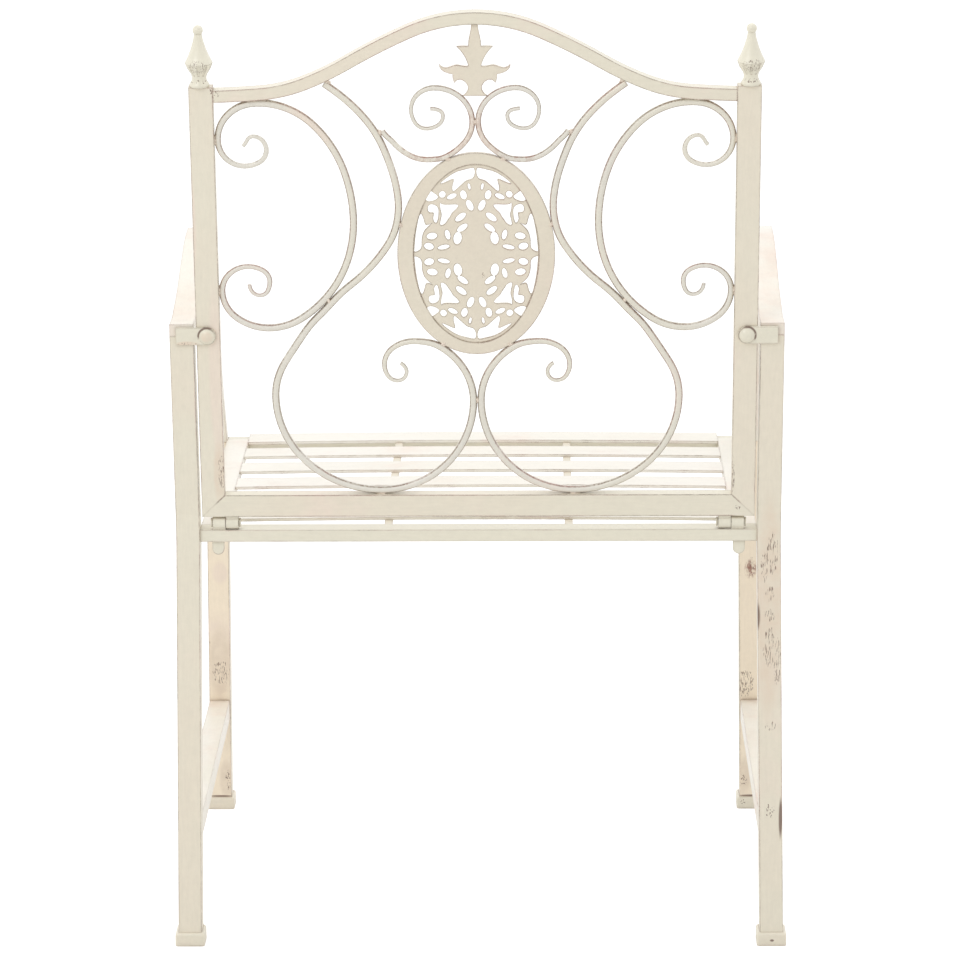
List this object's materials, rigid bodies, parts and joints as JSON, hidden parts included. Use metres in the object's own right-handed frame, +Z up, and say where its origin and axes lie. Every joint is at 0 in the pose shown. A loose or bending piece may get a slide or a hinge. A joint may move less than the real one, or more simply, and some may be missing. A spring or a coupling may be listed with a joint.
{
  "type": "garden armchair",
  "caption": "Metal garden armchair with a slatted seat, curved arms and a scrolled backrest round an oval medallion, which folds forward on hinges.",
  "frame": {"origin": "on the floor under the middle of the whole chair", "axes": "+X across to the sitter's left, +Y from the front to the back, +Z up"},
  "size_m": [0.627, 0.534, 0.9709],
  "materials": {
    "frame_paint": "distressed cream paint on steel tube",
    "foot_paint": "cream painted foot cap",
    "hardware_paint": "painted-over hinge and bolt parts",
    "scroll_paint": "cream paint worn to pinkish brown along the bar",
    "finial_paint": "cream paint with dark flutes",
    "back_paint": "distressed cream paint with brown specks at the mitres",
    "strap_paint": "painted flat strap",
    "medallion_paint": "cream paint on cut plate",
    "slat_paint": "cream painted slat"
  },
  "bodies": {
    "root": {"rear_leg_left": "frame_paint", "rear_leg_right": "frame_paint", "front_leg_left": "frame_paint", "front_leg_right": "frame_paint", "arm_left": "frame_paint", "arm_right": "frame_paint", "side_stretcher_left": "frame_paint", "side_stretcher_right": "frame_paint", "seat_side_rail_left": "frame_paint", "seat_side_rail_right": "frame_paint", "rear_foot_left": "foot_paint", "rear_foot_right": "foot_paint", "front_foot_left": "foot_paint", "front_foot_right": "foot_paint", "hinge_seat_knuckle_left": "hardware_paint", "hinge_seat_knuckle_right": "hardware_paint", "hinge_pin_left": "hardware_paint", "hinge_pin_right": "hardware_paint", "hinge_lug_left": "hardware_paint", "hinge_lug_right": "hardware_paint", "arm_tab_left": "hardware_paint", "arm_tab_right": "hardware_paint", "arm_bolt_left": "hardware_paint", "arm_bolt_right": "hardware_paint", "under_strap_left": "strap_paint", "under_strap_right": "strap_paint", "seat_rear_rail": "frame_paint", "seat_front_rail": "frame_paint", "seat_slat_1": "slat_paint", "seat_slat_2": "slat_paint", "seat_slat_3": "slat_paint", "seat_slat_4": "slat_paint", "seat_slat_5": "slat_paint", "seat_slat_6": "slat_paint"},
    "backrest": {"back_upright_left": "back_paint", "back_upright_right": "back_paint", "outer_scroll_left": "scroll_paint", "outer_scroll_right": "scroll_paint", "inner_scroll_left": "scroll_paint", "inner_scroll_right": "scroll_paint", "small_scroll_left": "scroll_paint", "small_scroll_right": "scroll_paint", "finial_left": "finial_paint", "finial_right": "finial_paint", "hinge_back_knuckle_left": "hardware_paint", "hinge_back_knuckle_right": "hardware_paint", "back_bottom_rail": "back_paint", "back_top_rail": "back_paint", "medallion_ring": "medallion_paint", "medallion_filigree": "medallion_paint", "top_ornament": "medallion_paint"}
  },
  "joints": [
    {"name": "back_fold", "type": "hinge", "parent": "root", "child": "backrest", "pos_m": [0, 0.19564, 0.4475], "axis": [1, 0, 0], "range_deg": [0, 90]}
  ]
}
